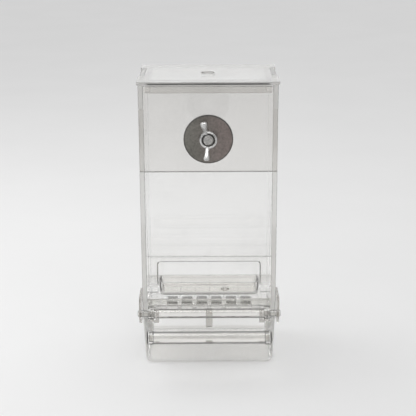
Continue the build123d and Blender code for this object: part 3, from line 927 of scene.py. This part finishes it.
# %% [markdown]
# ## Wing nut
# The wing nut is a turned hub with two paddles. They could be sculpted, but a list of stations is easier to change. A
# paddle is a small circle that is pulled outward station by station: each one says how far along it lies, how wide
# and how tall the circle has become, and how far it leans to the front.

# %% A wing pulled out of a circle
nut_seat = mm_box("wing_nut")[1].y
wing_radius, wing_rise = 1.6, 1.6


def wing(neck, tip, stations):
    bm = bmesh.new()
    bmesh.ops.create_circle(bm, cap_ends=True, segments=20, radius=wing_radius)
    end = bm.faces[:][0]
    reach = Vector((tip[0] - neck[0], 0, tip[1] - neck[1]))
    last_along, last_wide, last_tall, last_lean = 0.0, 1.0, 1.0, 0.0
    for number, (along, wide, tall, lean) in enumerate(stations):
        moved = bmesh.ops.extrude_face_region(bm, geom=[end])["geom"]
        if number:
            bmesh.ops.delete(bm, geom=[end], context="FACES_ONLY")
        verts = only(bmesh.types.BMVert, moved)
        end = only(bmesh.types.BMFace, moved)[0]
        bmesh.ops.translate(bm, verts=verts, vec=(0, -last_lean, 0))
        bmesh.ops.scale(bm, verts=verts, vec=(wide / last_wide, tall / last_tall, 1.0))
        bmesh.ops.translate(bm, verts=verts, vec=(0, lean, (along - last_along) * reach.length))
        last_along, last_wide, last_tall, last_lean = along, wide, tall, lean
    out, forward = reach.normalized(), Vector((0, -1, 0))
    lie = Matrix((forward.cross(out), forward, out)).transposed().to_4x4()
    foot = Vector((neck[0], nut_seat - wing_rise, bolt_mm + neck[1]))
    bm.transform(Matrix.Scale(MM, 4) @ Matrix.Translation(foot) @ lie)
    return bm


print("the nut sits at y", round(nut_seat, 2), "mm")

# %% Wing nut
hub_section = [
    (0.02, 3.1), (0.02, 5.2), (0.3, 5.5), (1.5, 5.45), (2.4, 5.2), (2.75, 4.7), (2.8, 4.3), (2.65, 4.05), (2.3, 3.9),
    (0.7, 3.8), (0.7, 3.1), (0.02, 3.1),
]
recess_radius, recess_floor = 4.0, 0.5
hub = turned(hub_section, 64)
# Painted shade: the faces inside the nut's recess get the darker finish.
for face in hub.faces:
    middle = face.calc_center_median()
    if math.hypot(middle.x, middle.y) < recess_radius and middle.z > recess_floor:
        face.material_index = SECOND
toward_front(hub, 0, nut_seat, bolt_mm)
upper_stations = [
    (0.10, 0.92, 1.0, 0.3), (0.28, 0.90, 1.1, 1.2), (0.46, 0.98, 1.25, 2.3), (0.62, 1.18, 1.4, 3.2),
    (0.78, 1.34, 1.5, 3.9), (0.90, 1.34, 1.48, 4.2), (0.96, 1.22, 1.3, 4.3), (1.0, 0.85, 0.95, 4.35),
]
lower_stations = [
    (0.10, 0.88, 1.0, 0.3), (0.28, 0.80, 1.1, 1.2), (0.46, 0.84, 1.25, 2.3), (0.64, 1.0, 1.35, 3.2),
    (0.80, 1.16, 1.4, 3.8), (0.91, 1.14, 1.32, 4.1), (0.97, 0.98, 1.1, 4.2), (1.0, 0.62, 0.7, 4.25),
]
upper = wing((-1.6, 3.6), (-3.0, 11.8), upper_stations)
lower = wing((-0.5, -3.9), (-1.3, -11.6), lower_stations)
nut = joined([upper, lower, hub])
SHINY.append(hand_over(nut, "nut", "nut", "wing_nut", [ZINC, DARKENED_RECESS_AND_RIM], smooth=True))

# %% [markdown]
# ## Tray
# The tray catches the hulls. It could be pulled from its floor as the dish is, but its solid already has the cut
# front, the lips and the rounded foot. So a copy of the solid has its loose triangles merged and its flat parts
# cleared of needless edges. The rounding of the foot is thicker than the walls and is painted greyer, as painted
# shade for the dark line along the foot.

# %% Tray from its solid
foot_top = 4.0 * MM
tray = bmesh.new()
tray.from_mesh(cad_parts["hull_tray"].data)
bmesh.ops.remove_doubles(tray, verts=tray.verts, dist=1e-6)
bmesh.ops.dissolve_limit(tray, angle_limit=math.radians(0.5), verts=tray.verts, edges=tray.edges)
for face in tray.faces:
    if face.calc_center_median().z < foot_top and -0.93 < face.normal.z < -0.12:
        face.material_index = SECOND
hand_over(tray, "tray", "tray", "hull_tray", [TRAY, FOOT], smooth=True)

# %% [markdown]
# ## Studio floor
# A wide pale floor runs out of the picture on all sides. A curved backdrop would look the same from the front, but it
# would stand in the way of the other views.

# %% Floor
floor = bmesh.new()
bmesh.ops.create_circle(floor, cap_ends=True, segments=96, radius=8.0)
floor_mesh = bpy.data.meshes.new("floor")
floor.to_mesh(floor_mesh)
floor.free()
floor_finish, wire, place = new_finish("pale_floor")
paper = wire.mix(wire.noise(place, 9.0, 3.0), (0.80, 0.80, 0.80), (0.84, 0.84, 0.84))
close_finish(wire, wire.node("ShaderNodeBsdfPrincipled", {}, {"Base Color": paper, "Roughness": 0.75}))
floor_mesh.materials.append(floor_finish)
floor_piece = bpy.data.objects.new("floor", floor_mesh)
floor_piece.location.z = -0.0002
bpy.context.scene.collection.objects.link(floor_piece)
print("floor is", floor_piece.dimensions.x, "m across")

# %% [markdown]
# ## Lights
# Two big soft lights hang above and to the left. One alone would leave the tray too dark, so the second casts no
# shadow and reaches it. A third light above the front shines on the rods, the arms and the nut alone, and gives them
# their long bright lines.


# %% Lights
def soft_light(name, place, target, width, height, power, shadow=True):
    lamp = bpy.data.lights.new(name, "AREA")
    lamp.use_shadow = shadow
    lamp.shape = "RECTANGLE"
    lamp.size, lamp.size_y, lamp.energy = width, height, power
    made = bpy.data.objects.new(name, lamp)
    made.location = place
    made.rotation_euler = (Vector(target) - Vector(place)).to_track_quat("-Z", "Y").to_euler()
    made.visible_camera = False
    bpy.context.scene.collection.objects.link(made)
    return made


soft_light("left_light", (-0.42, 0.15, 0.75), (0.02, -0.02, 0.0), 0.50, 0.50, 1.1)
soft_light("left_fill", (-0.40, -0.06, 0.75), (0.02, -0.04, 0.0), 0.50, 0.50, 1.5, shadow=False)
strip = soft_light("top_strip", (0.0, -0.20, 0.75), (0.0, -0.03, 0.03), 0.40, 0.45, 3.4, shadow=False)
strip.visible_diffuse = strip.visible_transmission = False
shiny = bpy.data.collections.new("shiny")
for piece in SHINY:
    shiny.objects.link(piece)
strip.light_linking.receiver_collection = shiny

# %% [markdown]
# ## Room
# Clear edges show the room that they turn toward them. Dark cards could stand round the feeder for that. Here the
# room itself is darker low down in front, which draws the dark lines and leaves nothing standing in other views.

# %% Room
world = bpy.data.worlds.new("studio")
bpy.context.scene.world = world
world.use_nodes = True
world.node_tree.nodes.clear()
wire = Wire(world.node_tree)
way = wire.node("ShaderNodeTexCoord")
ahead = wire.step(0.0 - wire.axis(way, Y), 0.45, 0.85)
low_down = wire.step(wire.axis(way, Z), 0.60, 0.25)
room_glow, front_dark = 0.80, 0.62
strength = room_glow - ahead * low_down * front_dark
glow = wire.node("ShaderNodeBackground", {}, {"Color": (1.0, 1.0, 1.0, 1.0), "Strength": strength})
wire.node("ShaderNodeOutputWorld", {}, {"Surface": glow})
print("the room glows with", room_glow, "and loses", front_dark, "in front")

# %% [markdown]
# ## Camera
# The camera stands 65 cm in front, a little above the lid, and looks down by about 17 degrees. It could be aimed with
# a constraint, but three matrices state its place, its tilt and its slight roll at once. Light passes through many
# clear walls here, so it is allowed many bounces.

# %% Camera
focal_length, picture_width = 1079.4, 416.0
camera_place = (-0.00041, -0.6497, 0.3004)
look_down, roll = 17.14, -0.27
bounces = 32
lens = bpy.data.cameras.new("camera")
lens.sensor_width = 36.0
lens.lens = lens.sensor_width * focal_length / picture_width
camera = bpy.data.objects.new("camera", lens)
camera.matrix_world = (
    Matrix.Translation(camera_place)
    @ Matrix.Rotation(math.radians(90.0 - look_down), 4, "X")
    @ Matrix.Rotation(math.radians(roll), 4, "Z")
)
bpy.context.scene.collection.objects.link(camera)
bpy.context.scene.camera = camera
bpy.context.scene.view_settings.view_transform = "Standard"
light_paths = bpy.context.scene.cycles
light_paths.max_bounces = light_paths.transmission_bounces = bounces
light_paths.glossy_bounces = light_paths.transparent_max_bounces = bounces
print("lens", round(lens.lens, 1), "mm")
